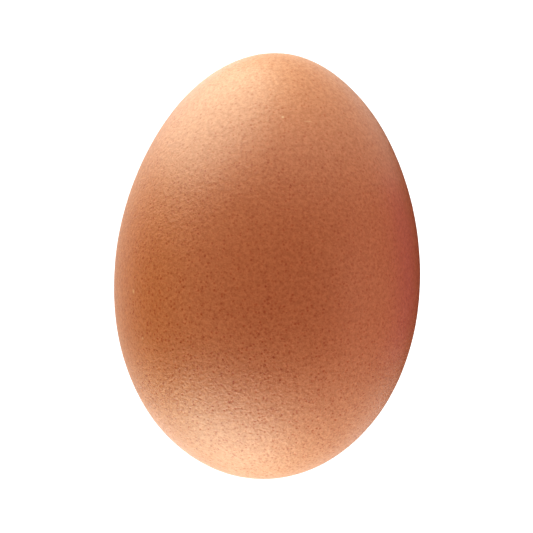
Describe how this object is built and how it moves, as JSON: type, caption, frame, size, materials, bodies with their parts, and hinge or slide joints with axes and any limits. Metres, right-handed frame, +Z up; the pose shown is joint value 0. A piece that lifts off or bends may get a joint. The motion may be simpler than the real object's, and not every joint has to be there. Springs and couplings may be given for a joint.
{
  "type": "egg",
  "caption": "Brown hen's egg in its speckled shell, lying on its side on a small flat spot, blunt at one end and pointed at the other.",
  "frame": {"origin": "middle of the small flat spot that the egg rests on, straight below its centre of mass", "axes": "+Z up from the surface it lies on; the long axis lies in the YZ plane, with the pointed end towards +Y and dipping about 4 degrees, as the egg lies when at rest"},
  "size_m": [0.0424, 0.0589, 0.0424],
  "materials": {
    "eggshell": "matte shell with a faint sheen, warm brown with fine darker red-brown pore speckles"
  },
  "bodies": {
    "root": {"egg": "eggshell"}
  },
  "joints": []
}
